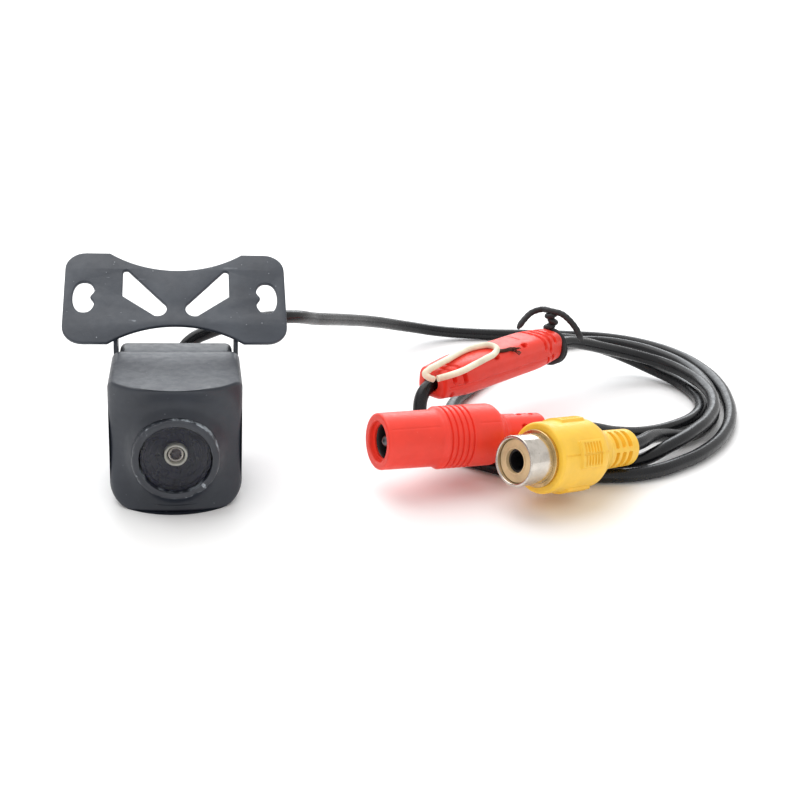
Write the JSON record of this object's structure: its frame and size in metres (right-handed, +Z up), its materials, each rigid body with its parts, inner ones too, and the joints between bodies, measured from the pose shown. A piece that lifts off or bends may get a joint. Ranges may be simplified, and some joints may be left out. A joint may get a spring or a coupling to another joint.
{
  "type": "backup camera",
  "caption": "Small reversing camera head on a slotted tilt bracket, with its coiled lead, red splitter block, red DC power jack and yellow RCA video jack.",
  "frame": {"origin": "on the surface that the object stands on, under the middle of the box round the camera head and its bracket", "axes": "+X to the right as seen from in front of the lens, across the bracket plate; the lens faces -Y; +Z up"},
  "size_m": [0.1335, 0.0953, 0.0333],
  "materials": {
    "housing_plastic": "fine satin moulding, charcoal with a blue cast",
    "dark_rubber": "matte",
    "lens_glass": "coated, bluish black",
    "barrel_plastic": "dead matt black",
    "cream_ring": "satin cream",
    "inner_glass": "polished",
    "filter_glass": "polished",
    "sensor_glass": "gloss",
    "board": "solder-masked laminate",
    "white_plastic": "satin",
    "black_plastic": "satin",
    "brass": "turned",
    "wire": "satin",
    "steel": "blackened screws",
    "bracket_paint": "semi-gloss, slate",
    "washer": "satin",
    "cable_pvc": "satin black jacket",
    "red_plastic": "satin vivid red",
    "yellow_plastic": "satin yellow",
    "nickel": "plated, lightly worn",
    "tan_plastic": "satin tan",
    "cream_pvc": "satin cream jacket",
    "copper_strands": "tarnished strands"
  },
  "bodies": {
    "camera": {"front_shell": "housing_plastic", "rear_shell": "housing_plastic", "housing_seal": "dark_rubber", "lens_bezel": "housing_plastic", "front_glass": "lens_glass", "lens_seal": "dark_rubber", "lens_barrel": "barrel_plastic", "aperture_ring": "cream_ring", "second_lens": "inner_glass", "rear_lens": "inner_glass", "lens_holder": "barrel_plastic", "ir_filter": "filter_glass", "image_sensor": "sensor_glass", "sensor_board": "board", "holder_screws": "steel", "processor_board": "board", "board_spacers": "brass", "board_header": "black_plastic", "wire_plug": "white_plastic", "inner_wires": "wire", "case_screws": "steel", "cable_gland": "dark_rubber", "pivot_inserts": "brass", "friction_washers": "washer", "pivot_screws": "steel", "camera_lead": "cable_pvc", "splitter_block": "red_plastic", "dc_lead": "cable_pvc", "rca_lead": "cable_pvc", "dc_jack_body": "red_plastic", "dc_jack_liner": "black_plastic", "dc_jack_contact": "nickel", "dc_jack_pin": "nickel", "rca_jack_body": "yellow_plastic", "rca_base_ring": "brass", "rca_sleeve": "nickel", "rca_insulator": "tan_plastic", "rca_contact": "nickel", "option_loop": "cream_pvc", "option_loop_strands": "copper_strands", "twist_tie": "dark_rubber"},
    "bracket": {"mounting_bracket": "bracket_paint"}
  },
  "joints": [
    {"name": "bracket_tilt", "type": "hinge", "parent": "camera", "child": "bracket", "pos_m": [0, 0.00474, 0.011], "axis": [1, 0, 0], "range_deg": [-30, 8]}
  ]
}
